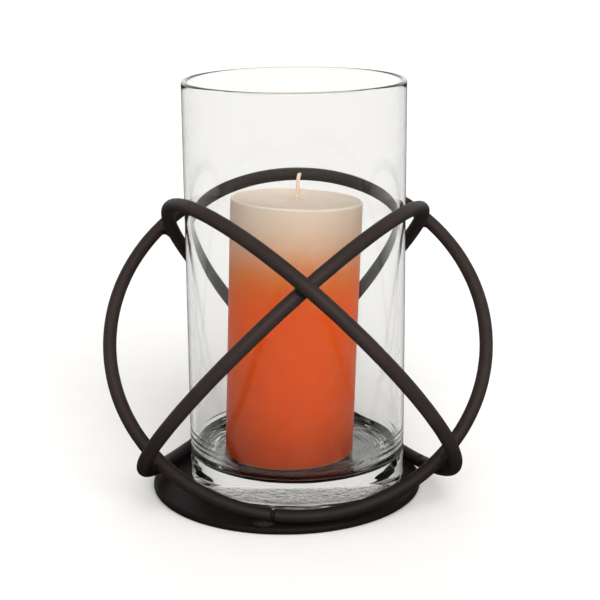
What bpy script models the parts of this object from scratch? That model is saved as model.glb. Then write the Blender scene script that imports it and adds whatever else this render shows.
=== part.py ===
"""Pillar candle holder: three tilted rings of round rod, welded to a round base plate and to each
other, around a loose glass cylinder with a loose pillar candle inside it.

Frame: metres, +Z up, +X to the right and +Y to the back of the front view.
Origin: the middle of the base plate's underside, on which the holder rests.
"""

import math

import bmesh
import bpy
from mathutils import Matrix, Vector

MM = 0.001
GAP = 0.3 * MM  # air left between pieces that touch or are cut by each other
MERGE = 0.001 * MM

# Base plate: a round disc with rounded edges.
PLATE_RADIUS = 80.0 * MM
PLATE_THICKNESS = 4.3 * MM
PLATE_EDGE_ROUND = 1.9 * MM

# Rings: equal circles of round rod, each standing on the plate at its low point.
# Each has the azimuth of its low point and its tilt in degrees, and its centre's x and y.
ROD_RADIUS = 4.0 * MM
RING_RADIUS = 110.3 * MM  # to the middle of the rod
RINGS = {
    "front_ring": (-90.4, 49.15, 7.3 * MM, -1.5 * MM),
    "right_ring": (28.35, 50.05, 13.15 * MM, -14.75 * MM),
    "left_ring": (154.65, 48.05, 0.0, -6.85 * MM),
}
RING_LOW_HEIGHT = PLATE_THICKNESS + GAP + ROD_RADIUS

# Each ring is bent from one length of rod, whose ends meet in a butt weld near the low point.
SEAM_ANGLE = math.radians(-7.8)  # from the low point, along the ring
SEAM_WIDTH = 1.0 * MM
SEAM_WELD_RADIUS = ROD_RADIUS - 0.25 * MM

# A short bead fixes each ring to the plate, in the outer corner between rod and plate.
BASE_WELD_ANGLES = {  # from the low point, along the ring
    "front_ring": math.radians(-10.5),
    "right_ring": math.radians(10.5),
    "left_ring": math.radians(-10.5),
}
BASE_WELD_HALF_SIZE = (5.0 * MM, 3.0 * MM, 2.7 * MM)  # along the rod, outwards, up
BASE_WELD_OFFSET = 3.9 * MM  # outwards from the middle of the rod
BASE_WELD_LIFT = 2.3 * MM  # above the plate

# Where two rings cross, a collar of weld fills the corners between the rods.
# Each has its two rings, its azimuth in degrees and whether it is an upper crossing.
CROSSINGS = {
    "upper_weld_front": ("right_ring", "left_ring", -85.0, True),
    "upper_weld_right": ("left_ring", "front_ring", 30.0, True),
    "upper_weld_left": ("right_ring", "front_ring", 147.0, True),
    "lower_weld_left": ("left_ring", "front_ring", 213.0, False),
    "lower_weld_right": ("right_ring", "front_ring", -30.0, False),
    "lower_weld_back": ("right_ring", "left_ring", 89.0, False),
}
UPPER_CROSSING_HEIGHT = 148.0 * MM
LOWER_CROSSING_HEIGHT = 33.0 * MM
CROSSING_REACH = 100.0 * MM  # of a crossing from the middle of the plate, roughly
UPPER_COLLAR = (4.2 * MM, 1.7 * MM)  # torus radii of a weld collar
LOWER_COLLAR = (4.7 * MM, 2.1 * MM)

# Glass cylinder: thin wall, thick floor, open top with a rounded rim.
GLASS_CENTRE = (6.3 * MM, 0.0)
GLASS_RADIUS = 63.5 * MM
GLASS_WALL = 3.0 * MM
GLASS_HEIGHT = 237.4 * MM
GLASS_FLOOR = 17.3 * MM
GLASS_FOOT_ROUND = 2.5 * MM
GLASS_INNER_ROUND = 5.0 * MM

# Pillar candle: it leans a little to the right, and its top slopes down to the right and the back.
CANDLE_CENTRE = (1.4 * MM, 0.0)
CANDLE_RADIUS = 38.1 * MM
CANDLE_HEIGHT = 151.5 * MM
CANDLE_EDGE_ROUND = 1.2 * MM
CANDLE_LEAN = math.radians(2.2)
CANDLE_TOP_RIGHT_SLOPE = math.radians(2.7)
CANDLE_TOP_BACK_SLOPE = math.radians(1.95)

# Wick, held upright by a pressed metal foot in the candle's underside.
WICK_RADIUS = 1.15 * MM
WICK_LENGTH = 14.9 * MM  # above the wax
WICK_BEND = 1.6 * MM  # of the tip to the right
SUSTAINER_RADIUS = 10.0 * MM
SUSTAINER_THICKNESS = 0.8 * MM
SUSTAINER_NECK_HEIGHT = 8.0 * MM
SUSTAINER_NECK_WALL = 0.7 * MM

# Facets.
RING_STEPS = 72
ROD_CURVE_RESOLUTION = 3  # ten sides
PLATE_STEPS = 64
GLASS_STEPS = 56
CANDLE_STEPS = 48
SMALL_STEPS = 20
ARC_STEPS = 3
COLLAR_SIDES = 8
WICK_STEPS = 6
SMOOTH_ANGLE = math.radians(40.0)

# Colour, roughness and metallic value of each material.
PAINTED_STEEL = ((0.032, 0.024, 0.022), 0.55, 0.3)
WELD_METAL = ((0.026, 0.020, 0.018), 0.45, 0.4)
CLEAR_GLASS = ((0.95, 0.97, 0.97), 0.02, 0.0)
ORANGE_WAX = ((0.72, 0.13, 0.02), 0.5, 0.0)
COTTON = ((0.80, 0.62, 0.48), 0.9, 0.0)
TINPLATE = ((0.60, 0.60, 0.58), 0.3, 1.0)


# ---- helpers -------------------------------------------------------------------------------


def give_material(obj, look):
    """Give the object its own material."""
    colour, roughness, metallic = look
    material = bpy.data.materials.new(obj.name + "_finish")
    material.use_nodes = True
    shader = material.node_tree.nodes["Principled BSDF"]
    shader.inputs["Base Color"].default_value = (*colour, 1.0)
    shader.inputs["Roughness"].default_value = roughness
    shader.inputs["Metallic"].default_value = metallic
    obj.data.materials.append(material)


def add_object(name, data, look=None, parent=None):
    """Link a named object, with a material unless it is a cutter."""
    obj = bpy.data.objects.new(name, data)
    bpy.context.collection.objects.link(obj)
    if parent:
        obj.parent = parent
    if look:
        give_material(obj, look)
    else:
        obj.hide_render = True
        obj.display_type = "WIRE"
    return obj


def add_pivot(name, x, y, z):
    """Add an empty on the axis of a piece that lifts off."""
    pivot = bpy.data.objects.new(name, None)
    pivot.location = (x, y, z)
    bpy.context.collection.objects.link(pivot)
    return pivot


def arc(x, z, radius, start, end):
    """Points of a profile's round edge, from one angle in degrees to another."""
    angles = [start + (end - start) * i / ARC_STEPS for i in range(ARC_STEPS + 1)]
    return [
        (x + radius * math.cos(math.radians(a)), z + radius * math.sin(math.radians(a)))
        for a in angles
    ]


def turned_mesh(name, profile, steps, closed=False, shape=None):
    """Turn an (x, z) profile about Z; shape, if given, then moves each point."""
    bm = bmesh.new()
    points = [bm.verts.new((x, 0.0, z)) for x, z in profile]
    pairs = list(zip(points, points[1:]))
    if closed:
        pairs.append((points[-1], points[0]))
    edges = [bm.edges.new(pair) for pair in pairs]
    bmesh.ops.spin(
        bm,
        geom=points + edges,
        cent=(0.0, 0.0, 0.0),
        axis=(0.0, 0.0, 1.0),
        angle=2.0 * math.pi,
        steps=steps,
        use_merge=True,
    )
    bmesh.ops.remove_doubles(bm, verts=bm.verts, dist=MERGE)
    if shape:
        for vert in bm.verts:
            vert.co = shape(vert.co)
    bmesh.ops.recalc_face_normals(bm, faces=bm.faces)
    mesh = bpy.data.meshes.new(name)
    bm.to_mesh(mesh)
    bm.free()
    mesh.shade_smooth()
    mesh.set_sharp_from_angle(angle=SMOOTH_ANGLE)
    return mesh


def round_rod(name, points, radius, resolution):
    """A curve through the points, with a round section and closed ends."""
    curve = bpy.data.curves.new(name, "CURVE")
    curve.dimensions = "3D"
    curve.bevel_depth = radius
    curve.bevel_resolution = resolution
    curve.use_fill_caps = True
    spline = curve.splines.new("POLY")
    spline.points.add(len(points) - 1)
    for target, point in zip(spline.points, points):
        target.co = (*point, 1.0)
    return curve


def cut(obj, cutter):
    """Cut the cutter's volume out of the object."""
    boolean = obj.modifiers.new("clear_of_" + cutter.name, "BOOLEAN")
    boolean.operation = "DIFFERENCE"
    boolean.object = cutter


# ---- base plate ----------------------------------------------------------------------------


def plate_profile(grow=0.0):
    """Half section of the plate, or of the plate grown all round by a clearance."""
    radius = PLATE_RADIUS + grow
    top = PLATE_THICKNESS + grow
    edge = PLATE_EDGE_ROUND + grow
    inner = radius - edge
    return [
        (0.0, top),
        *arc(inner, top - edge, edge, 90.0, 0.0),
        *arc(inner, edge - grow, edge, 0.0, -90.0),
        (0.0, -grow),
    ]


def build_plate():
    mesh = turned_mesh("base_plate", plate_profile(), PLATE_STEPS)
    add_object("base_plate", mesh, PAINTED_STEEL)


# ---- rings ---------------------------------------------------------------------------------


def ring_frame(name):
    """Matrix of a ring: X to its low point, Y along the rod there, Z square to the ring."""
    azimuth, tilt, x, y = RINGS[name]
    tilt = math.radians(tilt)
    centre = Vector((x, y, RING_LOW_HEIGHT + RING_RADIUS * math.sin(tilt)))
    turn = Matrix.Rotation(math.radians(azimuth), 4, "Z") @ Matrix.Rotation(tilt, 4, "Y")
    return Matrix.Translation(centre) @ turn


def ring_point(angle):
    """Point on the middle of the rod, in the ring's own frame."""
    return Vector((RING_RADIUS * math.cos(angle), RING_RADIUS * math.sin(angle), 0.0))


def ring_curve(name, radius, opening):
    """The ring's rod, with an opening of the given width at the seam."""
    half = 0.5 * opening / RING_RADIUS
    start = SEAM_ANGLE + half
    sweep = 2.0 * math.pi - 2.0 * half
    points = [ring_point(start + sweep * i / RING_STEPS) for i in range(RING_STEPS + 1)]
    return round_rod(name, points, radius, ROD_CURVE_RESOLUTION)


def build_ring(name):
    ring = add_object(name, ring_curve(name, ROD_RADIUS, SEAM_WIDTH), PAINTED_STEEL)
    ring.matrix_world = ring_frame(name)


def ring_clearance(name):
    """Cutter that keeps welds clear of a ring's rod."""
    cutter_name = name + "_clearance"
    guide = add_object(cutter_name + "_curve", ring_curve(cutter_name, ROD_RADIUS + GAP, 0.2 * MM))
    depsgraph = bpy.context.evaluated_depsgraph_get()
    mesh = bpy.data.meshes.new_from_object(guide.evaluated_get(depsgraph))
    bpy.data.objects.remove(guide)
    cutter = add_object(cutter_name, mesh)
    cutter.matrix_world = ring_frame(name)
    return cutter


def build_seam_weld(name):
    """Disc of weld between the ends of a ring's rod, a little below the rod's surface."""
    half = 0.5 * SEAM_WIDTH - GAP
    profile = [
        (0.0, half),
        (SEAM_WELD_RADIUS - half, half),
        (SEAM_WELD_RADIUS, 0.0),
        (SEAM_WELD_RADIUS - half, -half),
        (0.0, -half),
    ]
    weld_name = name + "_seam_weld"
    weld = add_object(weld_name, turned_mesh(weld_name, profile, SMALL_STEPS), WELD_METAL)
    along_rod = Matrix.Rotation(SEAM_ANGLE, 4, "Z") @ Matrix.Rotation(0.5 * math.pi, 4, "X")
    weld.matrix_world = ring_frame(name) @ Matrix.Translation(ring_point(SEAM_ANGLE)) @ along_rod


def build_base_weld(name, ring_cutter, plate_cutter):
    """Bead in the outer corner between a ring's rod and the plate."""
    frame = ring_frame(name)
    angle = BASE_WELD_ANGLES[name]
    rod = frame @ ring_point(angle)
    along = frame.to_3x3() @ Vector((-math.sin(angle), math.cos(angle), 0.0))
    heading = math.atan2(along.y, along.x)
    outward = Vector((math.sin(heading), -math.cos(heading), 0.0))
    middle = rod + outward * BASE_WELD_OFFSET
    middle.z = PLATE_THICKNESS + BASE_WELD_LIFT
    weld_name = name + "_base_weld"
    bm = bmesh.new()
    bmesh.ops.create_icosphere(bm, subdivisions=2, radius=1.0)
    bmesh.ops.scale(bm, vec=BASE_WELD_HALF_SIZE, verts=bm.verts)
    mesh = bpy.data.meshes.new(weld_name)
    bm.to_mesh(mesh)
    bm.free()
    mesh.shade_smooth()
    weld = add_object(weld_name, mesh, WELD_METAL)
    weld.matrix_world = Matrix.Translation(middle) @ Matrix.Rotation(heading, 4, "Z")
    cut(weld, ring_cutter)
    cut(weld, plate_cutter)


# ---- welds where rings cross ---------------------------------------------------------------


def nearest_on_ring(name, point):
    """Nearest point to a given one on the middle of a ring's rod."""
    frame = ring_frame(name)
    local = frame.inverted() @ point
    local.z = 0.0
    return frame @ (local.normalized() * RING_RADIUS)


def crossing_points(first, second, azimuth, upper):
    """The points where two rings come closest, near a rough azimuth and height."""
    angle = math.radians(azimuth)
    height = UPPER_CROSSING_HEIGHT if upper else LOWER_CROSSING_HEIGHT
    on_second = Vector(
        (CROSSING_REACH * math.cos(angle), CROSSING_REACH * math.sin(angle), height)
    )
    for _ in range(40):
        on_first = nearest_on_ring(first, on_second)
        on_second = nearest_on_ring(second, on_first)
    return on_first, on_second


def build_crossing_weld(name, cutters):
    first, second, azimuth, upper = CROSSINGS[name]
    on_first, on_second = crossing_points(first, second, azimuth, upper)
    major, minor = UPPER_COLLAR if upper else LOWER_COLLAR
    section = [
        (
            major + minor * math.cos(2.0 * math.pi * i / COLLAR_SIDES),
            -minor * math.sin(2.0 * math.pi * i / COLLAR_SIDES),
        )
        for i in range(COLLAR_SIDES)
    ]
    mesh = turned_mesh(name, section, SMALL_STEPS, closed=True)
    weld = add_object(name, mesh, WELD_METAL)
    facing = (on_second - on_first).to_track_quat("Z", "X").to_matrix().to_4x4()
    weld.matrix_world = Matrix.Translation((on_first + on_second) / 2.0) @ facing
    cut(weld, cutters[first])
    cut(weld, cutters[second])


# ---- glass cylinder ------------------------------------------------------------------------


def build_glass():
    """Straight glass cylinder, on the plate."""
    inner = GLASS_RADIUS - GLASS_WALL
    rim = 0.5 * GLASS_WALL
    profile = [
        (0.0, GLASS_FLOOR),
        *arc(inner - GLASS_INNER_ROUND, GLASS_FLOOR + GLASS_INNER_ROUND, GLASS_INNER_ROUND, -90.0, 0.0),
        *arc(inner + rim, GLASS_HEIGHT - rim, rim, 180.0, 90.0)[:-1],
        *arc(inner + rim, GLASS_HEIGHT - rim, rim, 90.0, 0.0),
        *arc(GLASS_RADIUS - GLASS_FOOT_ROUND, GLASS_FOOT_ROUND, GLASS_FOOT_ROUND, 0.0, -90.0),
        (0.0, 0.0),
    ]
    lift = add_pivot("glass_lift", *GLASS_CENTRE, PLATE_THICKNESS + GAP)
    mesh = turned_mesh("glass_cylinder", profile, GLASS_STEPS)
    add_object("glass_cylinder", mesh, CLEAR_GLASS, lift)


# ---- candle --------------------------------------------------------------------------------


def leaned(point):
    """Lean a point of the upright candle, and slope its top down to the right and the back."""
    drop = math.tan(CANDLE_TOP_RIGHT_SLOPE) * point.x + math.tan(CANDLE_TOP_BACK_SLOPE) * point.y
    z = point.z * (1.0 - drop / CANDLE_HEIGHT)
    return Vector((point.x + z * math.tan(CANDLE_LEAN), point.y, z))


def candle_profile():
    """Half section of the wax, with a stepped bore for the wick and its foot."""
    bore = WICK_RADIUS + GAP
    neck = bore + SUSTAINER_NECK_WALL + GAP
    recess = SUSTAINER_RADIUS + GAP
    edge = CANDLE_EDGE_ROUND
    return [
        (bore, CANDLE_HEIGHT),
        *arc(CANDLE_RADIUS - edge, CANDLE_HEIGHT - edge, edge, 90.0, 0.0),
        *arc(CANDLE_RADIUS - edge, edge, edge, 0.0, -90.0),
        (recess, 0.0),
        (recess, SUSTAINER_THICKNESS + GAP),
        (neck, SUSTAINER_THICKNESS + GAP),
        (neck, SUSTAINER_NECK_HEIGHT + GAP),
        (bore, SUSTAINER_NECK_HEIGHT + GAP),
    ]


def sustainer_profile():
    """Half section of the wick's metal foot: a disc with a neck."""
    bore = WICK_RADIUS + GAP
    neck = bore + SUSTAINER_NECK_WALL
    return [
        (bore, SUSTAINER_NECK_HEIGHT),
        (neck, SUSTAINER_NECK_HEIGHT),
        (neck, SUSTAINER_THICKNESS),
        (SUSTAINER_RADIUS, SUSTAINER_THICKNESS),
        (SUSTAINER_RADIUS, 0.0),
        (bore, 0.0),
    ]


def wick_points():
    """Straight up through the wax, then gently bent to the right."""
    points = [leaned(Vector((0.0, 0.0, GAP))), leaned(Vector((0.0, 0.0, CANDLE_HEIGHT)))]
    foot = points[-1]
    for i in range(1, WICK_STEPS + 1):
        rise = i / WICK_STEPS
        points.append(foot + Vector((WICK_BEND * rise, 0.0, WICK_LENGTH * rise)))
    return points


def build_candle():
    floor = PLATE_THICKNESS + GAP + GLASS_FLOOR + GAP
    lift = add_pivot("candle_lift", *CANDLE_CENTRE, floor)
    wax = turned_mesh("pillar_candle", candle_profile(), CANDLE_STEPS, closed=True, shape=leaned)
    add_object("pillar_candle", wax, ORANGE_WAX, lift)
    foot = turned_mesh("wick_sustainer", sustainer_profile(), SMALL_STEPS, closed=True, shape=leaned)
    add_object("wick_sustainer", foot, TINPLATE, lift)
    wick = round_rod("wick", wick_points(), WICK_RADIUS, 2)
    add_object("wick", wick, COTTON, lift)


# ---- assembly ------------------------------------------------------------------------------


def main():
    for obj in list(bpy.data.objects):
        bpy.data.objects.remove(obj)
    build_plate()
    plate_cutter = add_object(
        "base_plate_clearance",
        turned_mesh("base_plate_clearance", plate_profile(GAP), PLATE_STEPS),
    )
    ring_cutters = {name: ring_clearance(name) for name in RINGS}
    for name in RINGS:
        build_ring(name)
        build_seam_weld(name)
        build_base_weld(name, ring_cutters[name], plate_cutter)
    for name in CROSSINGS:
        build_crossing_weld(name, ring_cutters)
    build_glass()
    build_candle()


main()
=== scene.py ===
import math

import bmesh
import bpy
import numpy as np
from mathutils import Matrix, Vector


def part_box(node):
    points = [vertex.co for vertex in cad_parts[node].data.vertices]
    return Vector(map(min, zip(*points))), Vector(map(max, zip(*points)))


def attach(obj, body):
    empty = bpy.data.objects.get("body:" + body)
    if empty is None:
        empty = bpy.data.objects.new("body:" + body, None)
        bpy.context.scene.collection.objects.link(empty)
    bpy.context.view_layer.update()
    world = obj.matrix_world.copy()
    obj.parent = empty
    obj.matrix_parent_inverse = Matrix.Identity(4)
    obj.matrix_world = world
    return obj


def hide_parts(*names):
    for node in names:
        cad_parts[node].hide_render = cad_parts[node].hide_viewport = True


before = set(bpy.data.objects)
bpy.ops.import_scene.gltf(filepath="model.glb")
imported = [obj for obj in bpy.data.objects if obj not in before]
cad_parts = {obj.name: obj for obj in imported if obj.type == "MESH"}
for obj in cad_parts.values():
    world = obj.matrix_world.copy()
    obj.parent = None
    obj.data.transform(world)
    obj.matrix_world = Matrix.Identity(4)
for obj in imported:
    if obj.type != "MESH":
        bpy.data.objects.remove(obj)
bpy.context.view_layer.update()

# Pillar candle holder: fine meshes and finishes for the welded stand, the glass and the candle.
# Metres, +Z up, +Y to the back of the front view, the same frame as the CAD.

MM = 0.001

RINGS = ("front_ring", "right_ring", "left_ring")
ROD_RADIUS = 4.0 * MM
ROD_SIDES = 28
ROD_STATIONS = 520
SEAM_HALF = 0.5 * MM  # half the gap between the two ends of a rod
SEAM_WELD_RADIUS = 3.2 * MM
SEAM_WELD_HALF = 0.75 * MM
BASE_WELD_HALF_SIZE = (6.4 * MM, 3.0 * MM, 2.2 * MM)  # along the rod, outwards, up
SHARP_EDGE = math.radians(50)
PLATE_EDGE_ROUND = 1.9 * MM

GLASS_WALL = 3.0 * MM
GLASS_FLOOR = 17.3 * MM
GLASS_FOOT_ROUND = 4.5 * MM
GLASS_INNER_ROUND = 6.5 * MM
GLASS_PANEL_RISE = 1.6 * MM  # of the sunk panel in the underside
GLASS_PANEL_RAMP = 5.0 * MM
STIPPLE_CENTRE_Y = -24.0 * MM
STIPPLE_HALF_WIDTH = 41.0 * MM
STIPPLE_HALF_DEPTH = 20.0 * MM
STIPPLE_FADE_START = STIPPLE_HALF_DEPTH - 6.0 * MM
STIPPLE_FADE_END = STIPPLE_HALF_DEPTH + 2.0 * MM
GLASS_STEPS = 288

CANDLE_AXIS_X = 1.4 * MM
CANDLE_RADIUS = 38.1 * MM
CANDLE_EDGE_ROUND = 1.2 * MM
CANDLE_HEIGHT = 151.5 * MM
CANDLE_LEAN = math.radians(2.2)
CANDLE_TOP_RIGHT_SLOPE = math.radians(2.7)
CANDLE_TOP_BACK_SLOPE = math.radians(1.95)
WICK_RADIUS = 1.15 * MM
WICK_LENGTH = 14.9 * MM  # above the wax
WICK_SIDES = 36
WICK_TWIST = 5.2 * MM  # length of one turn of the braid
BORE_RADIUS = WICK_RADIUS + 0.3 * MM
SUSTAINER_RADIUS = 10.0 * MM
SUSTAINER_THICKNESS = 0.8 * MM
SUSTAINER_HEIGHT = 8.0 * MM


# ---- numbers ---------------------------------------------------------------------------------


def linear(red, green, blue):
    """Scene-linear colour of an sRGB colour given in 0 to 255."""
    out = []
    for value in (red, green, blue):
        v = value / 255.0
        out.append(v / 12.92 if v <= 0.04045 else ((v + 0.055) / 1.055) ** 2.4)
    return (*out, 1.0)


def smooth_step(x, low, high):
    t = np.clip((x - low) / (high - low), 0.0, 1.0)
    return t * t * (3.0 - 2.0 * t)


def lumps(points, size, seed, waves=7):
    """Smooth bumps of about the given size, between -1 and 1, the same on every run."""
    rng = np.random.default_rng(seed)
    total = np.zeros(len(points))
    for _ in range(waves):
        direction = rng.normal(size=3)
        direction /= np.linalg.norm(direction)
        pitch = size * rng.uniform(0.7, 1.5)
        total += np.sin(points @ direction * (2.0 * math.pi / pitch) + rng.uniform(0, 6.28))
    return total / math.sqrt(waves) / 1.6


# ---- meshes ----------------------------------------------------------------------------------


def add_piece(name, verts, faces, material, body, stands_for, sharp=None):
    """Link a mesh as a piece that stands for CAD nodes and rides on their body."""
    mesh = bpy.data.meshes.new(name)
    mesh.from_pydata([tuple(v) for v in verts], [], faces)
    bm = bmesh.new()
    bm.from_mesh(mesh)
    bmesh.ops.recalc_face_normals(bm, faces=bm.faces)
    bm.to_mesh(mesh)
    bm.free()
    mesh.shade_smooth()
    if sharp is not None:
        mesh.set_sharp_from_angle(angle=sharp)
    mesh.materials.append(material)
    piece = bpy.data.objects.new(name, mesh)
    bpy.context.collection.objects.link(piece)
    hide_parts(*stands_for)
    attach(piece, body)
    return piece


def skin(rows, closed_rows=False):
    """Faces between rows of vertex numbers, each row a loop or a single vertex."""
    faces = []
    pairs = list(zip(rows, rows[1:]))
    if closed_rows:
        pairs.append((rows[-1], rows[0]))
    for low, high in pairs:
        steps = max(len(low), len(high))
        for i in range(steps):
            j = (i + 1) % steps
            if len(low) == 1:
                faces.append((low[0], high[i], high[j]))
            elif len(high) == 1:
                faces.append((low[j], low[i], high[0]))
            else:
                faces.append((low[i], low[j], high[j], high[i]))
    return faces


def lathe(profile, steps, closed=False):
    """Vertices and faces of an (x, z) profile turned about Z."""
    turn = 2.0 * math.pi * np.arange(steps) / steps
    verts, rows = [], []
    for x, z in profile:
        if x < 1e-9:
            rows.append([len(verts)])
            verts.append((0.0, 0.0, z))
        else:
            rows.append(list(range(len(verts), len(verts) + steps)))
            verts.extend(zip(x * np.cos(turn), x * np.sin(turn), [z] * steps))
    return np.array(verts, float), skin(rows, closed)


def arc(x, z, radius, start, end, steps):
    """Points of a round edge of a profile, between two angles in degrees."""
    angles = np.radians(np.linspace(start, end, steps + 1))
    return [(x + radius * math.cos(a), z + radius * math.sin(a)) for a in angles]


def line(start, end, steps):
    """Points between two profile points, both left out."""
    return [
        (start[0] + (end[0] - start[0]) * i / steps, start[1] + (end[1] - start[1]) * i / steps)
        for i in range(1, steps)
    ]


def ball(subdivisions):
    """Unit directions and faces of an even triangle ball."""
    bm = bmesh.new()
    bmesh.ops.create_icosphere(bm, subdivisions=subdivisions, radius=1.0)
    verts = np.array([v.co for v in bm.verts], float)
    faces = [tuple(v.index for v in f.verts) for f in bm.faces]
    bm.free()
    return verts / np.linalg.norm(verts, axis=1)[:, None], faces


# ---- places in the CAD ---------------------------------------------------------------------------


def foot_centre(node):
    """Middle of the underside of a CAD node's box."""
    low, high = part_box(node)
    return np.array(((low[0] + high[0]) / 2.0, (low[1] + high[1]) / 2.0, low[2]))


class Ring:
    """Centre, axes and radius of a CAD ring, with X towards its lowest point."""

    def __init__(self, node):
        points = np.array([v.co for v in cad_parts[node].data.vertices], float)
        middle = points.mean(axis=0)
        normal = np.linalg.svd(points - middle)[2][2]
        self.normal = normal if normal[2] > 0.0 else -normal
        lowest = np.array((0.0, 0.0, -1.0))
        lowest -= lowest @ self.normal * self.normal
        self.x = lowest / np.linalg.norm(lowest)
        self.y = np.cross(self.normal, self.x)
        flat = np.stack([(points - middle) @ self.x, (points - middle) @ self.y], axis=1)
        unknowns = np.column_stack([2.0 * flat, np.ones(len(flat))])
        fit = np.linalg.lstsq(unknowns, (flat**2).sum(axis=1), rcond=None)[0]
        heights = (points - middle) @ self.normal
        level = 0.5 * (heights.max() + heights.min())
        self.centre = middle + fit[0] * self.x + fit[1] * self.y + level * self.normal
        reach = np.linalg.norm(flat - fit[:2], axis=1)
        self.radius = 0.5 * (reach.max() + reach.min())
        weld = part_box(node + "_seam_weld")
        self.seam = self.angle_of((np.array(weld[0]) + np.array(weld[1])) / 2.0)

    def angle_of(self, point):
        return math.atan2((point - self.centre) @ self.y, (point - self.centre) @ self.x)

    def outward(self, angle):
        return math.cos(angle) * self.x + math.sin(angle) * self.y

    def along(self, angle):
        return -math.sin(angle) * self.x + math.cos(angle) * self.y

    def rod_distance(self, points):
        """Distance of points from the surface of the rod, negative inside."""
        local = points - self.centre
        reach = np.hypot(local @ self.x, local @ self.y)
        return np.hypot(reach - self.radius, local @ self.normal) - ROD_RADIUS


# ---- materials ---------------------------------------------------------------------------------


class Finish:
    """A material under construction, with short calls for its nodes."""

    def __init__(self, name):
        self.material = bpy.data.materials.new(name)
        self.material.use_nodes = True
        self.tree = self.material.node_tree
        self.shader = self.tree.nodes["Principled BSDF"]
        self.coords = self.tree.nodes.new("ShaderNodeTexCoord").outputs["Object"]

    def put(self, socket, value):
        self.shader.inputs[socket].default_value = value

    def link(self, source, target):
        self.tree.links.new(source, target)

    def scaled(self, scale):
        """Object coordinates, stretched along each axis."""
        mapping = self.tree.nodes.new("ShaderNodeMapping")
        mapping.inputs["Scale"].default_value = scale
        self.link(self.coords, mapping.inputs["Vector"])
        return mapping.outputs["Vector"]

    def noise(self, scale, detail, roughness, vector=None):
        node = self.tree.nodes.new("ShaderNodeTexNoise")
        node.inputs["Scale"].default_value = scale
        node.inputs["Detail"].default_value = detail
        node.inputs["Roughness"].default_value = roughness
        self.link(vector or self.coords, node.inputs["Vector"])
        return node.outputs["Fac"]

    def spots(self, scale):
        """Distance to the nearest of scattered points."""
        node = self.tree.nodes.new("ShaderNodeTexVoronoi")
        node.inputs["Scale"].default_value = scale
        self.link(self.coords, node.inputs["Vector"])
        return node.outputs["Distance"]

    def ramp(self, factor, stops):
        node = self.tree.nodes.new("ShaderNodeValToRGB")
        elements = node.color_ramp.elements
        while len(elements) < len(stops):
            elements.new(0.5)
        for element, (position, colour) in zip(elements, stops):
            element.position = position
            element.color = colour
        self.link(factor, node.inputs["Fac"])
        return node.outputs["Color"]

    def span(self, value, low, high, to_low, to_high):
        node = self.tree.nodes.new("ShaderNodeMapRange")
        node.inputs["From Min"].default_value = low
        node.inputs["From Max"].default_value = high
        node.inputs["To Min"].default_value = to_low
        node.inputs["To Max"].default_value = to_high
        self.link(value, node.inputs["Value"])
        return node.outputs["Result"]

    def maths(self, operation, first, second):
        node = self.tree.nodes.new("ShaderNodeMath")
        node.operation = operation
        for socket, value in zip(node.inputs, (first, second)):
            if isinstance(value, (int, float)):
                socket.default_value = value
            else:
                self.link(value, socket)
        return node.outputs["Value"]

    def mix(self, factor, first, second):
        node = self.tree.nodes.new("ShaderNodeMix")
        node.data_type = "RGBA"
        self.link(factor, node.inputs["Factor"])
        for socket, value in ((node.inputs[6], first), (node.inputs[7], second)):
            if isinstance(value, tuple):
                socket.default_value = value
            else:
                self.link(value, socket)
        return node.outputs[2]

    def axis(self, name):
        node = self.tree.nodes.new("ShaderNodeSeparateXYZ")
        self.link(self.coords, node.inputs["Vector"])
        return node.outputs[name]

    def bump(self, height, strength, distance, under=None):
        node = self.tree.nodes.new("ShaderNodeBump")
        node.inputs["Strength"].default_value = strength
        node.inputs["Distance"].default_value = distance
        self.link(height, node.inputs["Height"])
        if under:
            self.link(under, node.inputs["Normal"])
        return node.outputs["Normal"]


def painted_steel(name, sheen):
    """Dark bronze-brown satin paint with a fine grain, darkened to near black towards the bottom as painted
    shade.
    """
    f = Finish(name)
    cloud = f.noise(55.0, 4.0, 0.6)
    grain = f.noise(900.0, 3.0, 0.6)
    tone = f.ramp(cloud, [(0.3, (0.0140, 0.0093, 0.0082, 1.0)), (0.7, (0.0205, 0.0136, 0.0120, 1.0))])
    speck = f.span(grain, 0.45, 0.75, 0.0, 0.35)
    worn = f.mix(speck, tone, (0.034, 0.024, 0.021, 1.0))
    # Painted shade: below 75 mm the colour turns towards near black, so the plate and the low parts of the
    # rods look shaded.
    low_down = f.span(f.axis("Z"), 0.004, 0.075, 0.92, 0.0)
    f.link(f.mix(low_down, worn, (0.0045, 0.0030, 0.0027, 1.0)), f.shader.inputs["Base Color"])
    f.link(f.span(grain, 0.3, 0.7, 0.50, 0.66), f.shader.inputs["Roughness"])
    f.put("Metallic", 0.0)
    f.put("Specular IOR Level", sheen)
    skin_bump = f.bump(f.noise(2200.0, 2.0, 0.5), 0.25, 0.00006)
    f.link(f.bump(cloud, 0.35, 0.0008, skin_bump), f.shader.inputs["Normal"])
    return f.material


def weld_bead():
    """The same paint over rougher weld metal, a little darker and glossier."""
    f = Finish("weld_bead")
    cloud = f.noise(420.0, 4.0, 0.6)
    tone = f.ramp(cloud, [(0.3, (0.003, 0.0022, 0.0018, 1.0)), (0.75, (0.011, 0.0065, 0.0058, 1.0))])
    f.link(tone, f.shader.inputs["Base Color"])
    f.link(f.span(cloud, 0.3, 0.7, 0.45, 0.65), f.shader.inputs["Roughness"])
    f.put("Metallic", 0.0)
    f.put("Specular IOR Level", 0.09)
    f.link(f.bump(f.noise(1300.0, 3.0, 0.6), 0.4, 0.00012), f.shader.inputs["Normal"])
    return f.material


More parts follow.
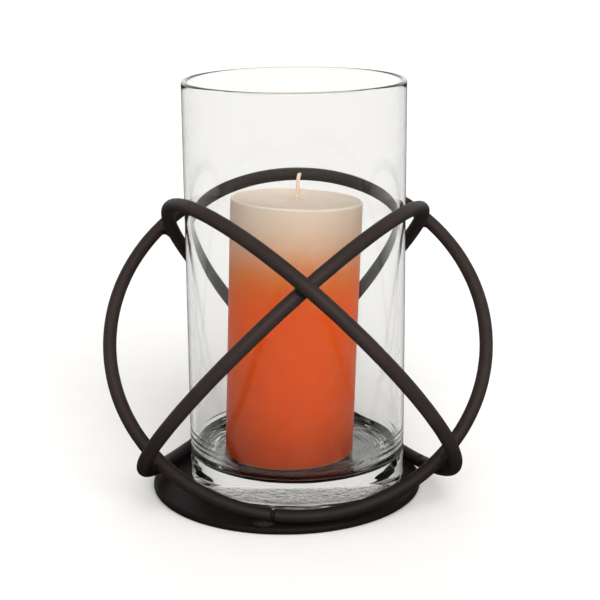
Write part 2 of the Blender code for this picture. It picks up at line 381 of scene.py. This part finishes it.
def clear_glass():
    """Clear glass, slightly warm grey through its thickness."""
    f = Finish("clear_glass")
    f.put("Base Color", (0.925, 0.925, 0.918, 1.0))
    f.put("Transmission Weight", 1.0)
    f.put("IOR", 1.5)
    f.put("Specular Tint", (0.35, 0.35, 0.35, 1.0))
    low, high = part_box("glass_cylinder")
    across = f.maths("SUBTRACT", f.axis("X"), (low[0] + high[0]) / 2.0)
    across = f.maths("MULTIPLY", across, STIPPLE_HALF_DEPTH / STIPPLE_HALF_WIDTH)
    depth = f.maths("SUBTRACT", f.axis("Y"), STIPPLE_CENTRE_Y)
    squares = f.maths("ADD", f.maths("MULTIPLY", across, across), f.maths("MULTIPLY", depth, depth))
    reach = f.maths("SQRT", squares, 0.0)
    patch = f.span(reach, STIPPLE_FADE_START, STIPPLE_FADE_END, 1.0, 0.0)
    low_down = f.span(f.axis("Z"), low[2] + 5.0 * MM, low[2] + 6.0 * MM, 1.0, 0.0)
    patch = f.maths("MULTIPLY", patch, low_down)
    smudge = f.span(f.noise(38.0, 3.0, 0.5), 0.4, 0.8, 0.0, 0.012)
    f.link(f.maths("ADD", smudge, f.maths("MULTIPLY", patch, 0.01)), f.shader.inputs["Roughness"])
    stipple = f.maths("MULTIPLY", f.noise(750.0, 2.0, 0.6), patch)
    f.link(f.bump(stipple, 1.0, 0.0004), f.shader.inputs["Normal"])
    body = f.tree.nodes.new("ShaderNodeVolumeAbsorption")
    body.inputs["Color"].default_value = (0.80, 0.796, 0.785, 1.0)
    body.inputs["Density"].default_value = 23.0
    f.link(body.outputs["Volume"], f.tree.nodes["Material Output"].inputs["Volume"])
    return f.material


# The orange darkens towards the foot partly in the wax's own colour and partly as painted shade.
WAX_STOPS = (  # share of the candle's height and its sRGB colour there
    (0.000, (178, 63, 20)),
    (0.070, (184, 65, 17)),
    (0.140, (202, 73, 18)),
    (0.240, (216, 80, 19)),
    (0.400, (226, 84, 18)),
    (0.600, (234, 89, 18)),
    (0.680, (230, 102, 32)),
    (0.750, (225, 126, 64)),
    (0.820, (224, 161, 122)),
    (0.880, (220, 182, 154)),
    (0.940, (222, 198, 176)),
    (1.000, (224, 208, 191)),
)


def top_masks(f, base):
    """Two factors on the sloped top of the leaning candle: a painted highlight along its rim, and the wax
    round the wick.
    """
    up = f.maths("SUBTRACT", f.axis("Z"), base)
    shift = f.maths("MULTIPLY", up, math.tan(CANDLE_LEAN))
    across = f.maths("SUBTRACT", f.maths("SUBTRACT", f.axis("X"), CANDLE_AXIS_X), shift)
    depth = f.axis("Y")
    level = f.maths("ADD", up, f.maths("MULTIPLY", across, math.tan(CANDLE_TOP_RIGHT_SLOPE)))
    level = f.maths("ADD", level, f.maths("MULTIPLY", depth, math.tan(CANDLE_TOP_BACK_SLOPE)))
    squares = f.maths("ADD", f.maths("MULTIPLY", across, across), f.maths("MULTIPLY", depth, depth))
    reach = f.maths("SQRT", squares, 0.0)
    near_top = f.span(level, CANDLE_HEIGHT - 1.3 * MM, CANDLE_HEIGHT - 0.7 * MM, 0.0, 1.0)
    # Painted highlight: a pale ring just inside the top edge.
    rim = f.span(reach, CANDLE_RADIUS - 1.7 * MM, CANDLE_RADIUS - 1.0 * MM, 0.0, 0.45)
    centre = f.span(reach, 1.6 * MM, 6.0 * MM, 0.42, 0.0)
    return f.maths("MULTIPLY", near_top, rim), f.maths("MULTIPLY", near_top, centre)


def candle_wax():
    """Wax that fades from orange at the foot to cream at the top, with painted shade near the foot and
    painted highlights on the edges of the foot and the top.
    """
    f = Finish("candle_wax")
    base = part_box("pillar_candle")[0][2]
    rise = f.span(f.axis("Z"), base, base + CANDLE_HEIGHT, 0.0, 1.0)
    drift = f.span(f.noise(22.0, 3.0, 0.5), 0.3, 0.7, -0.02, 0.02)
    level = f.maths("ADD", rise, drift)
    body = f.ramp(level, [(share, linear(*colour)) for share, colour in WAX_STOPS])
    cloud = f.noise(120.0, 4.0, 0.6)
    mottled = f.mix(f.span(cloud, 0.45, 0.8, 0.0, 0.06), body, (0.80, 0.40, 0.20, 1.0))
    # Painted highlight: a paler line along the bottom edge of the wax.
    painted_foot_highlight = f.span(rise, 0.003, 0.008, 0.8, 0.0)
    edged = f.mix(painted_foot_highlight, mottled, (0.62, 0.27, 0.13, 1.0))
    rim, centre = top_masks(f, base)
    # Painted highlight along the rim of the top.
    edged = f.mix(rim, edged, (0.90, 0.82, 0.72, 1.0))
    f.link(f.mix(centre, edged, (0.60, 0.34, 0.24, 1.0)), f.shader.inputs["Base Color"])
    f.put("Roughness", 0.5)
    f.put("Specular IOR Level", 0.14)
    f.put("IOR", 1.44)
    f.put("Subsurface Weight", 0.35)
    f.put("Subsurface Radius", (1.0, 0.42, 0.2))
    f.put("Subsurface Scale", 0.004)
    pits = f.span(f.spots(170.0), 0.0, 0.14, -1.0, 0.0)
    soft = f.bump(f.noise(110.0, 2.0, 0.4), 0.15, 0.0004)
    f.link(f.bump(pits, 0.10, 0.0001, soft), f.shader.inputs["Normal"])
    return f.material


def wick_cotton():
    """Cream cotton braid with wax soaked into it."""
    f = Finish("wick_cotton")
    fibre = f.noise(2600.0, 3.0, 0.6, f.scaled((1.0, 1.0, 0.35)))
    low, high = linear(226, 180, 156), linear(252, 230, 212)
    f.link(f.ramp(fibre, [(0.32, low), (0.68, high)]), f.shader.inputs["Base Color"])
    f.put("Roughness", 0.72)
    f.put("Subsurface Weight", 0.15)
    f.put("Subsurface Scale", 0.0006)
    f.link(f.bump(fibre, 0.5, 0.0001), f.shader.inputs["Normal"])
    return f.material


def sustainer_tinplate():
    """Thin pressed tinplate with faint rolling marks."""
    f = Finish("sustainer_tinplate")
    marks = f.noise(700.0, 3.0, 0.6, f.scaled((1.0, 0.08, 1.0)))
    tone = f.ramp(marks, [(0.3, (0.42, 0.42, 0.41, 1.0)), (0.7, (0.62, 0.62, 0.60, 1.0))])
    f.link(tone, f.shader.inputs["Base Color"])
    f.link(f.span(marks, 0.3, 0.7, 0.22, 0.38), f.shader.inputs["Roughness"])
    f.put("Metallic", 1.0)
    f.link(f.bump(marks, 0.2, 0.00005), f.shader.inputs["Normal"])
    return f.material


# ---- stand -------------------------------------------------------------------------------------

# Rounded end of a rod: how far along it from the end, and its radius there.
ROD_END = [
    (0.0, 0.0),
    (0.0, 2.0 * MM),
    (0.04 * MM, 3.0 * MM),
    (0.18 * MM, 3.45 * MM),
    (0.45 * MM, 3.75 * MM),
    (0.8 * MM, 3.92 * MM),
    (1.15 * MM, 3.99 * MM),
]
ROD_END_LENGTH = 1.6 * MM


def build_ring(name, ring, material, seed):
    """The rod of a ring, with rounded ends that face each other at the seam."""
    half = SEAM_HALF / ring.radius
    first, last = ring.seam + half, ring.seam - half + 2.0 * math.pi
    inner = ROD_END_LENGTH / ring.radius
    start, end = first + inner, last - inner
    stations = [(first + s / ring.radius, r) for s, r in ROD_END]
    stations += [(start + (end - start) * i / ROD_STATIONS, ROD_RADIUS) for i in range(ROD_STATIONS + 1)]
    stations += [(last - s / ring.radius, r) for s, r in reversed(ROD_END)]
    sides = 2.0 * math.pi * np.arange(ROD_SIDES) / ROD_SIDES
    verts, rows = [], []
    for angle, radius in stations:
        middle = ring.centre + ring.radius * ring.outward(angle)
        if radius < 1e-9:
            rows.append([len(verts)])
            verts.append(middle)
            continue
        rows.append(list(range(len(verts), len(verts) + ROD_SIDES)))
        out, up = ring.outward(angle), ring.normal
        verts.extend(middle + radius * (math.cos(a) * out + math.sin(a) * up) for a in sides)
    verts = np.array(verts)
    core = verts - ring.centre
    reach = np.hypot(core @ ring.x, core @ ring.y)
    flat = (core @ ring.x)[:, None] * ring.x + (core @ ring.y)[:, None] * ring.y
    middle = ring.centre + flat / reach[:, None] * ring.radius
    shrink = 1.0 - 0.010 * (1.0 + lumps(verts, 26.0 * MM, seed))
    shrink -= 0.004 * (1.0 + lumps(verts, 5.0 * MM, seed + 1))
    verts = middle + (verts - middle) * shrink[:, None]
    add_piece(name, verts, skin(rows), material, "stand", [name], SHARP_EDGE)


def build_seam_weld(name, ring, material, seed):
    """Rough disc of weld between the ends of the rod, sunk below its surface."""
    directions, faces = ball(5)
    out, along, up = ring.outward(ring.seam), ring.along(ring.seam), ring.normal
    middle = ring.centre + ring.radius * out
    radius = SEAM_WELD_RADIUS * (1.0 + 0.10 * lumps(directions, 0.6, seed))
    flat = np.sign(directions[:, 2]) * np.abs(directions[:, 2]) ** 0.6
    around = directions[:, :2] * radius[:, None]
    verts = middle + around[:, :1] * out + around[:, 1:2] * up
    verts += (flat * SEAM_WELD_HALF)[:, None] * along
    add_piece(name + "_seam_weld", verts, faces, material, "stand", [name + "_seam_weld"])


def build_base_weld(name, material, seed):
    """Lumpy bead in the corner between a rod and the plate."""
    node = name + "_base_weld"
    ring = rings[name]
    low, high = (np.array(c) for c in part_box(node))
    middle = (low + high) / 2.0
    angle = ring.angle_of(middle)
    along = ring.along(angle) * (1.0, 1.0, 0.0)
    along /= np.linalg.norm(along)
    up = np.array((0.0, 0.0, 1.0))
    out = np.cross(along, up)
    if out @ middle < 0.0:
        out = -out
    directions, faces = ball(6)
    swell = 1.0 + 0.07 * lumps(directions, 0.9, seed) + 0.03 * lumps(directions, 0.3, seed + 1)
    ripple = 1.0 + 0.03 * np.sin(directions[:, 0] * 16.0)
    shape = directions * (swell * ripple)[:, None] * BASE_WELD_HALF_SIZE
    middle[2] = low[2] + 1.2 * MM
    middle -= out * 0.4 * MM
    verts = middle + shape[:, :1] * along + shape[:, 1:2] * out + shape[:, 2:] * up
    verts[:, 2] = np.maximum(verts[:, 2], low[2] - 0.6 * MM)
    add_piece(node, verts, faces, material, "stand", [node])


def smooth_union(a, b, blend):
    """Distance to two shapes joined with a fillet."""
    h = np.maximum(blend - np.abs(a - b), 0.0) / blend
    return np.minimum(a, b) - h * h * blend / 4.0


# Two rings, the fillet between them and the reach of the bead along the rods.
UPPER_BEAD = (2.2 * MM, 6.8 * MM)
LOWER_BEAD = (5.5 * MM, 9.0 * MM)
CROSSINGS = {
    "upper_weld_front": ("right_ring", "left_ring", *UPPER_BEAD),
    "upper_weld_right": ("left_ring", "front_ring", *UPPER_BEAD),
    "upper_weld_left": ("right_ring", "front_ring", *UPPER_BEAD),
    "lower_weld_left": ("left_ring", "front_ring", *LOWER_BEAD),
    "lower_weld_right": ("right_ring", "front_ring", *LOWER_BEAD),
    "lower_weld_back": ("right_ring", "left_ring", *LOWER_BEAD),
}


def build_crossing_weld(name, first, second, fillet, reach, material, seed):
    """Weld that fills the corners between two crossing rods and fades out along them."""
    low, high = (np.array(c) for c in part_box(name))
    middle = (low + high) / 2.0
    gap = rings[first].rod_distance(middle[None]) + rings[second].rod_distance(middle[None])
    blend = fillet + 2.0 * max(0.0, float(gap[0]))
    directions, faces = ball(6)

    def field(distance):
        points = middle + directions * distance[:, None]
        rods = (rings[ring].rod_distance(points) for ring in (first, second))
        near = smooth_union(*rods, blend)
        fade = smooth_step(distance, 0.55 * reach, reach)
        rough = 0.10 * MM * lumps(points, 3.0 * MM, seed) + 0.05 * MM * lumps(points, 1.1 * MM, seed + 1)
        return near - 0.10 * MM + 0.7 * MM * fade + rough

    inside, outside = np.zeros(len(directions)), np.full(len(directions), reach)
    for _ in range(26):
        half = (inside + outside) / 2.0
        solid = field(half) < 0.0
        inside = np.where(solid, half, inside)
        outside = np.where(solid, outside, half)
    verts = middle + directions * inside[:, None]
    add_piece(name, verts, faces, material, "stand", [name])


def build_plate(material):
    """Round plate with rounded edges, flat faces and a faint unevenness of the rim."""
    low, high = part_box("base_plate")
    radius = (high[0] - low[0]) / 2.0
    top, edge = high[2] - low[2], PLATE_EDGE_ROUND
    inner = radius - edge
    profile = [(0.0, top), *line((0.0, top), (inner, top), 14)]
    profile += arc(inner, top - edge, edge, 90.0, 0.0, 8)
    profile += arc(inner, edge, edge, 0.0, -90.0, 8)
    profile += [*line((inner, 0.0), (0.0, 0.0), 8), (0.0, 0.0)]
    verts, faces = lathe(profile, 240)
    reach = np.hypot(verts[:, 0], verts[:, 1])
    near_rim = smooth_step(reach, inner - 4.0 * MM, radius)
    wobble = 1.0 - 0.0012 * (1.0 + lumps(verts, 45.0 * MM, 5)) * near_rim
    verts[:, :2] *= wobble[:, None]
    verts += foot_centre("base_plate")
    add_piece("base_plate", verts, faces, material, "stand", ["base_plate"])


# ---- glass ---------------------------------------------------------------------------------------


def glass_profile(outer, tall):
    """Outline of the glass, and how many of its points are on the inside, up to the wavy wall's top."""
    inner, rim = outer - GLASS_WALL, 0.5 * GLASS_WALL
    foot, heel = GLASS_FOOT_ROUND, GLASS_INNER_ROUND
    flat, wavy_top = inner - heel, GLASS_FLOOR + 40.0 * MM
    profile = [(0.0, GLASS_FLOOR), *line((0.0, GLASS_FLOOR), (flat, GLASS_FLOOR), 96)]
    profile += arc(flat, GLASS_FLOOR + heel, heel, -90.0, 0.0, 30)
    profile += line((inner, GLASS_FLOOR + heel), (inner, wavy_top), 80)
    inside_rows = len(profile)
    profile += line((inner, wavy_top), (inner, tall - rim), 60)
    profile += arc(inner + rim, tall - rim, rim, 180.0, 0.0, 14)
    profile += line((outer, tall - rim), (outer, foot), 60)
    profile += arc(outer - foot, foot, foot, 0.0, -90.0, 12)
    profile += [*line((outer - foot, 0.0), (0.0, 0.0), 110), (0.0, 0.0)]
    return profile, inside_rows


def press_heel_rings(verts, inside, inner):
    """Press shallow rings round the heel, on the edge of the floor and the lowest part of the wall."""
    heel, flat = GLASS_INNER_ROUND, inner - GLASS_INNER_ROUND
    z = verts[:, 2].copy()
    reach = np.hypot(verts[:, 0], verts[:, 1])
    around = np.arctan2(verts[:, 1], verts[:, 0])
    out = verts[:, :2] / np.maximum(reach, 1e-9)[:, None]
    climb = np.arctan2(np.maximum(reach - flat, 0.0), np.maximum(GLASS_FLOOR + heel - z, 1e-6))
    run = np.minimum(reach - flat, 0.0) + heel * climb + np.maximum(z - GLASS_FLOOR - heel, 0.0)
    curled = np.stack([np.cos(around), np.sin(around), run / (30.0 * MM)], axis=1)
    phase = 2.2 * lumps(curled, 1.5, 11)
    ridges = np.sin(2.0 * math.pi * run / (3.6 * MM) + phase)
    ridges += 0.9 * np.sin(2.0 * math.pi * run / (5.9 * MM) - 1.4 * phase)
    sides = smooth_step(np.abs(np.cos(around)), 0.55, 0.85)
    on_wall = smooth_step(run, 2.0 * MM, 8.0 * MM)
    fade = smooth_step(run, -18.0 * MM, -10.0 * MM) * smooth_step(run, 26.0 * MM, 9.0 * MM)
    fade *= (0.25 + 0.75 * sides) * (1.0 - on_wall * (1.0 - sides))
    lift = np.where(inside, 0.15 * MM * ridges * fade, 0.0)
    verts[:, :2] -= out * (lift * np.sin(climb))[:, None]
    verts[:, 2] += lift * np.cos(climb)
    on_floor = inside & (z < GLASS_FLOOR + 0.2 * MM)
    verts[:, 2] += np.where(on_floor, 0.05 * MM * (lumps(verts, 9.0 * MM, 21) - 1.0), 0.0)
    return z, reach


def sink_underside(verts, z, reach, flat_radius):
    """Sink a panel in the underside, with a stippled patch, and let it sag a little."""
    on_base = (z < 0.05 * MM) & (reach < flat_radius)
    narrow = verts[:, 0] * STIPPLE_HALF_DEPTH / STIPPLE_HALF_WIDTH
    from_patch = np.hypot(narrow, verts[:, 1] - STIPPLE_CENTRE_Y)
    patch = smooth_step(from_patch, STIPPLE_FADE_END, STIPPLE_FADE_START)
    grain = 0.07 * lumps(verts, 2.4 * MM, 31, 16) + 0.12 * lumps(verts, 5.0 * MM, 33, 12) + 0.2
    grain *= MM * patch
    sag = 0.035 * MM * (lumps(verts, 14.0 * MM, 32) + 1.0)
    sag *= smooth_step(reach, flat_radius, flat_radius - 6.0 * MM)
    panel = GLASS_PANEL_RISE * smooth_step(reach, flat_radius, flat_radius - GLASS_PANEL_RAMP)
    verts[:, 2] += np.where(on_base, panel + grain + sag, 0.0)


def build_glass(material):
    """Straight cylinder with a round rim and a thick floor, slightly uneven near its foot."""
    low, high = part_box("glass_cylinder")
    outer, tall = (high[0] - low[0]) / 2.0, high[2] - low[2]
    profile, inside_rows = glass_profile(outer, tall)
    verts, faces = lathe(profile, GLASS_STEPS)
    inside = np.arange(len(verts)) < 1 + (inside_rows - 1) * GLASS_STEPS
    z, reach = press_heel_rings(verts, inside, outer - GLASS_WALL)
    sink_underside(verts, z, reach, outer - GLASS_FOOT_ROUND)
    verts += foot_centre("glass_cylinder")
    add_piece("glass_cylinder", verts, faces, material, "glass", ["glass_cylinder"])


# ---- candle ----------------------------------------------------------------------------------------


def leaned(points):
    """Lean upright points with the candle, slope its top down to the right and back, put it in place."""
    x, y, z = points.T
    drop = math.tan(CANDLE_TOP_RIGHT_SLOPE) * x + math.tan(CANDLE_TOP_BACK_SLOPE) * y
    z = z * (1.0 - drop / CANDLE_HEIGHT)
    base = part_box("pillar_candle")[0][2]
    return np.stack([x + z * math.tan(CANDLE_LEAN) + CANDLE_AXIS_X, y, z + base], axis=1)


def build_wax(material):
    """Pillar with a soft raised rim, a slightly dished top and a cone of wax up the wick."""
    edge, tall, bore = CANDLE_EDGE_ROUND, CANDLE_HEIGHT, BORE_RADIUS
    rim = CANDLE_RADIUS - edge
    recess, recess_top = SUSTAINER_RADIUS + 0.3 * MM, SUSTAINER_THICKNESS + 0.3 * MM
    profile = [(bore, tall - 4.0 * MM), (bore, tall - 0.6 * MM), (WICK_RADIUS - 0.05 * MM, tall - 0.2 * MM)]
    profile += [(WICK_RADIUS - 0.02 * MM, tall + 1.2 * MM), (WICK_RADIUS + 0.10 * MM, tall + 1.1 * MM)]
    rows = 40
    for i in range(1, rows + 1):
        x = WICK_RADIUS + (rim - 1.6 * MM - WICK_RADIUS) * i / rows
        cone = 1.3 * MM * math.exp(-(x - WICK_RADIUS) / (1.0 * MM))
        dish = 0.675 * MM * float(smooth_step(x, 37.0 * MM, 22.0 * MM))
        profile.append((x, tall - 0.25 * MM - dish + cone))
    profile += arc(rim, tall - edge, edge, 100.0, 0.0, 10)
    profile += line((CANDLE_RADIUS, tall - edge), (CANDLE_RADIUS, edge), 90)
    profile += arc(rim, edge, edge, 0.0, -90.0, 8)
    profile += [*line((rim, 0.0), (recess, 0.0), 8), (recess, 0.0), (recess, recess_top)]
    neck_bore, neck_top = bore + 1.0 * MM, SUSTAINER_HEIGHT + 0.3 * MM
    profile += [(neck_bore, recess_top), (neck_bore, neck_top), (bore, neck_top)]
    verts, faces = lathe(profile, 224, closed=True)
    reach = np.hypot(verts[:, 0], verts[:, 1])
    uneven = 1.0 - 0.0016 * (1.0 + lumps(verts, 42.0 * MM, 41)) * smooth_step(reach, 20.0 * MM, rim)
    verts[:, :2] *= uneven[:, None]
    verts = leaned(verts)
    add_piece("pillar_candle", verts, faces, material, "candle", ["pillar_candle"], SHARP_EDGE)


def build_wick(material):
    """Twisted cotton wick from the foot of the wax to a soft tip, bent a little to the right."""
    below = CANDLE_HEIGHT
    stations = [*np.linspace(0.3 * MM, below - 4.0 * MM, 40), *np.linspace(below - 3.9 * MM, below, 24)]
    stations += list(below + np.linspace(0.0, 1.0, 120)[1:] * WICK_LENGTH)
    sides = 2.0 * math.pi * np.arange(WICK_SIDES) / WICK_SIDES
    verts, rows = [], []
    for s in stations:
        rise = max(0.0, s - below) / WICK_LENGTH
        foot = leaned(np.array([[0.0, 0.0, min(s, below)]]))[0]
        sway = 1.7 * rise + 0.34 * math.sin(rise * 7.0) * min(1.0, 4.0 * rise)
        middle = foot + np.array((sway * MM, 0.15 * MM * math.sin(rise * 9.0), rise * WICK_LENGTH))
        end = min(1.0, (1.0 - rise) / 0.045) if rise > 0.0 else 1.0
        taper = math.sqrt(max(0.05, 1.0 - (1.0 - end) ** 2))
        size = WICK_RADIUS * (0.97 + 0.03 * math.exp(-rise * 9.0)) * taper
        rows.append(list(range(len(verts), len(verts) + WICK_SIDES)))
        twist = s / WICK_TWIST * 2.0 * math.pi
        for a in sides:
            strand = abs(math.cos(1.5 * (a - twist)))
            r = size * (0.88 + 0.13 * strand**0.7)
            verts.append(middle + r * np.array((math.cos(a), math.sin(a), 0.0)))
    for row in (rows[0], rows[-1]):
        verts.append(np.mean([verts[i] for i in row], axis=0))
    rows = [[len(verts) - 2], *rows, [len(verts) - 1]]
    add_piece("wick", verts, skin(rows), material, "candle", ["wick"])


def build_sustainer(material):
    """Pressed disc with a rolled rib and a neck that grips the wick."""
    bore, neck = BORE_RADIUS, WICK_RADIUS + 1.0 * MM
    thick, out, tall = SUSTAINER_THICKNESS, SUSTAINER_RADIUS, SUSTAINER_HEIGHT
    ribs = [(x * MM, 0.05 * MM * math.sin((x - 4.0) * 3.0) ** 2) for x in np.linspace(3.0, 9.4, 24)]
    profile = [(bore, tall), (neck - 0.15 * MM, tall), (neck, tall - 0.15 * MM), (neck, 4.0 * MM)]
    profile += arc(neck + 0.25 * MM, thick + 0.2 * MM, 0.25 * MM, 180.0, 270.0, 4)
    profile += [(x, thick - rib) for x, rib in ribs]
    profile += arc(out - 0.3 * MM, 0.4 * MM, 0.3 * MM, 80.0, -90.0, 6)
    profile += [(x, 0.1 * MM + rib) for x, rib in reversed(ribs)]
    profile += [(bore + 0.2 * MM, 0.15 * MM), (bore, 0.4 * MM)]
    verts, faces = lathe(profile, 96, closed=True)
    name, sharp = "wick_sustainer", math.radians(40)
    add_piece(name, leaned(verts), faces, material, "candle", [name], sharp)


# ---- surroundings ----------------------------------------------------------------------------------

FLOOR_HALF = 14.0
FLOOR_GAP = 0.05 * MM  # below the plate
SOFTBOX_DIRECTION = Vector((0.14, -0.8, 0.5))  # up in front, a little to the right
CAMERA_PLACE = Vector((0.0, -0.8437, 0.3407))
CAMERA_YAW, CAMERA_PITCH, CAMERA_ROLL = 0.0103, math.radians(15.09), -0.0082
CAMERA_SENSOR = 36.0  # mm, and so is the lens
CAMERA_LENS = 89.766


def build_floor():
    """Wide pale floor, just under the plate."""
    half = FLOOR_HALF
    corners = [(-half, -half, 0.0), (half, -half, 0.0), (half, half, 0.0), (-half, half, 0.0)]
    mesh = bpy.data.meshes.new("floor")
    mesh.from_pydata(corners, [], [(0, 1, 2, 3)])
    f = Finish("floor_white")
    speckle = f.noise(30.0, 2.0, 0.5)
    tone = f.ramp(speckle, [(0.3, (0.742, 0.739, 0.732, 1.0)), (0.7, (0.756, 0.753, 0.746, 1.0))])
    f.link(tone, f.shader.inputs["Base Color"])
    f.put("Roughness", 0.9)
    f.put("Specular IOR Level", 0.1)
    mesh.materials.append(f.material)
    floor = bpy.data.objects.new("floor", mesh)
    floor.location = (0.0, 0.0, -FLOOR_GAP)
    bpy.context.collection.objects.link(floor)
    floor.visible_glossy = False


def build_world():
    """White studio: bright above and behind, dimmer towards the camera, with a softbox up front."""
    world = bpy.data.worlds.new("studio")
    bpy.context.scene.world = world
    world.use_nodes = True
    tree = world.node_tree
    direction = tree.nodes.new("ShaderNodeTexCoord").outputs["Generated"]
    split = tree.nodes.new("ShaderNodeSeparateXYZ")
    tree.links.new(direction, split.inputs["Vector"])

    def span(source, low, high, to_low, to_high):
        node = tree.nodes.new("ShaderNodeMapRange")
        node.interpolation_type = "SMOOTHSTEP"
        for socket, value in zip(("From Min", "From Max", "To Min", "To Max"), (low, high, to_low, to_high)):
            node.inputs[socket].default_value = value
        tree.links.new(source, node.inputs["Value"])
        return node.outputs["Result"]

    def blend(factor, first, second):
        node = tree.nodes.new("ShaderNodeMix")
        node.data_type = "FLOAT"
        tree.links.new(factor, node.inputs["Factor"])
        for socket, value in ((node.inputs[2], first), (node.inputs[3], second)):
            if isinstance(value, float):
                socket.default_value = value
            else:
                tree.links.new(value, socket)
        return node.outputs[0]

    def plus(first, second):
        node = tree.nodes.new("ShaderNodeMath")
        node.operation = "ADD"
        tree.links.new(first, node.inputs[0])
        tree.links.new(second, node.inputs[1])
        return node.outputs[0]

    # Brightness by direction: from the camera's side to the back, up high, behind, and the floor's.
    side = span(split.outputs["Y"], -0.9, 0.5, 0.06, 1.0)
    height = span(split.outputs["Z"], 0.25, 0.8, 0.0, 1.0)
    behind = span(split.outputs["Y"], 0.45, 0.9, 0.0, 0.5)
    below = span(split.outputs["Z"], -0.06, 0.0, 0.0, 1.0)
    above = blend(height, side, 0.62)
    towards = tree.nodes.new("ShaderNodeVectorMath")
    towards.operation = "DOT_PRODUCT"
    tree.links.new(direction, towards.inputs[0])
    towards.inputs[1].default_value = SOFTBOX_DIRECTION.normalized()
    softbox = span(towards.outputs["Value"], 0.78, 0.98, 0.0, 7.0)
    glow = plus(above, plus(behind, softbox))
    tree.links.new(blend(below, 0.08, glow), tree.nodes["Background"].inputs["Strength"])
    tree.nodes["Background"].inputs["Color"].default_value = (1.0, 0.995, 0.985, 1.0)


def build_camera():
    """Camera at the height, distance and tilt of the front view."""
    yaw, pitch, roll = CAMERA_YAW, CAMERA_PITCH, CAMERA_ROLL
    ahead = Vector((math.sin(yaw) * math.cos(pitch), math.cos(yaw) * math.cos(pitch), -math.sin(pitch)))
    right = Vector((math.cos(yaw), -math.sin(yaw), 0.0))
    up = right.cross(ahead)
    side = math.cos(roll) * right + math.sin(roll) * up
    head = -math.sin(roll) * right + math.cos(roll) * up
    data = bpy.data.cameras.new("camera")
    data.sensor_width = CAMERA_SENSOR
    data.lens = CAMERA_LENS
    data.clip_start, data.clip_end = 0.02, 60.0
    camera = bpy.data.objects.new("camera", data)
    turn = Matrix((side, head, -ahead)).transposed()
    camera.matrix_world = Matrix.Translation(CAMERA_PLACE) @ turn.to_4x4()
    bpy.context.collection.objects.link(camera)
    bpy.context.scene.camera = camera


# ---- assembly ------------------------------------------------------------------------------------------

rings = {name: Ring(name) for name in RINGS}
steel, bead = painted_steel("rod_paint_with_painted_shade", 0.12), weld_bead()
build_plate(painted_steel("plate_paint_with_painted_shade", 0.05))
for number, ring_name in enumerate(RINGS):
    build_ring(ring_name, rings[ring_name], steel, 100 + 10 * number)
    build_seam_weld(ring_name, rings[ring_name], bead, 200 + 10 * number)
    build_base_weld(ring_name, bead, 300 + 10 * number)
for number, (weld_name, values) in enumerate(CROSSINGS.items()):
    build_crossing_weld(weld_name, *values, bead, 400 + 10 * number)
build_glass(clear_glass())
build_wax(candle_wax())
build_wick(wick_cotton())
build_sustainer(sustainer_tinplate())

build_floor()
build_world()
build_camera()
bpy.context.scene.view_settings.view_transform = "Standard"
